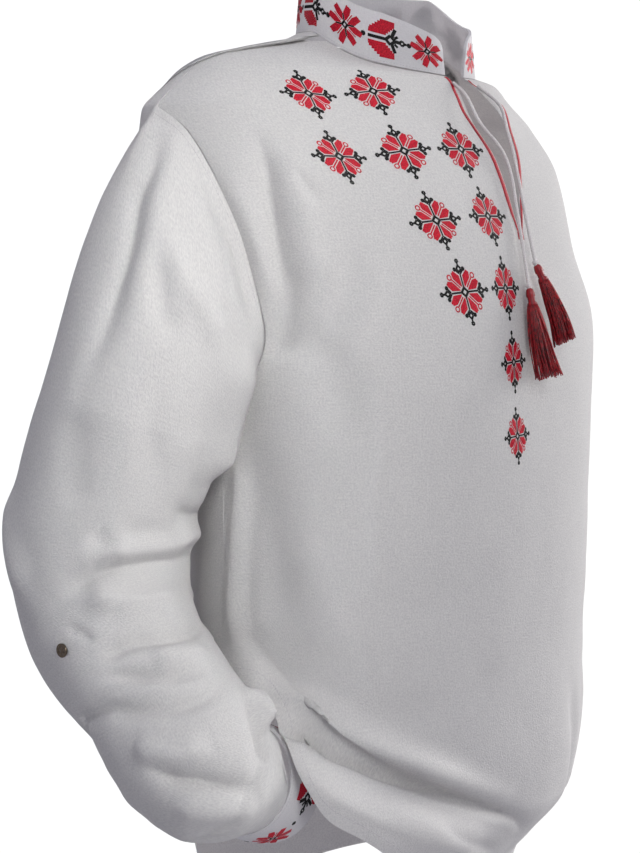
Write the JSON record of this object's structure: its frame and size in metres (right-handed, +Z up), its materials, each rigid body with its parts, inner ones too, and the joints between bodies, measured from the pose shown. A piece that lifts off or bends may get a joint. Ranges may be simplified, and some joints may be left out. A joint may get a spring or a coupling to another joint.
{
  "type": "embroidered linen folk shirt (vyshyvanka)",
  "caption": "Worn white linen pullover shirt with stand collar, open front slit, tasselled ties, long gathered sleeves with cuffs, and red and black cross-stitch on front, collar and cuffs",
  "frame": {"origin": "on the wearer's middle line, 14 mm above the line between the two points where the shoulder seams meet the foot of the collar, where the shirt hangs on its wearer", "axes": "+Z up, the wearer faces -Y, +X is the wearer's left"},
  "size_m": [0.6859, 0.3525, 0.7954],
  "materials": {
    "linen": "off-white plain-weave linen blend, matt",
    "cord": "twisted white cotton cord",
    "tassel_thread": "dark red viscose thread with a soft sheen",
    "button_metal": "dark antiqued metal"
  },
  "bodies": {
    "root": {"shirt_front": "linen", "shirt_back": "linen", "right_sleeve": "linen", "left_sleeve": "linen", "right_cuff": "linen", "left_cuff": "linen", "collar": "linen", "right_cord": "cord", "left_cord": "cord", "right_tassel": "tassel_thread", "left_tassel": "tassel_thread", "right_sleeve_button": "button_metal", "left_sleeve_button": "button_metal"}
  },
  "joints": []
}
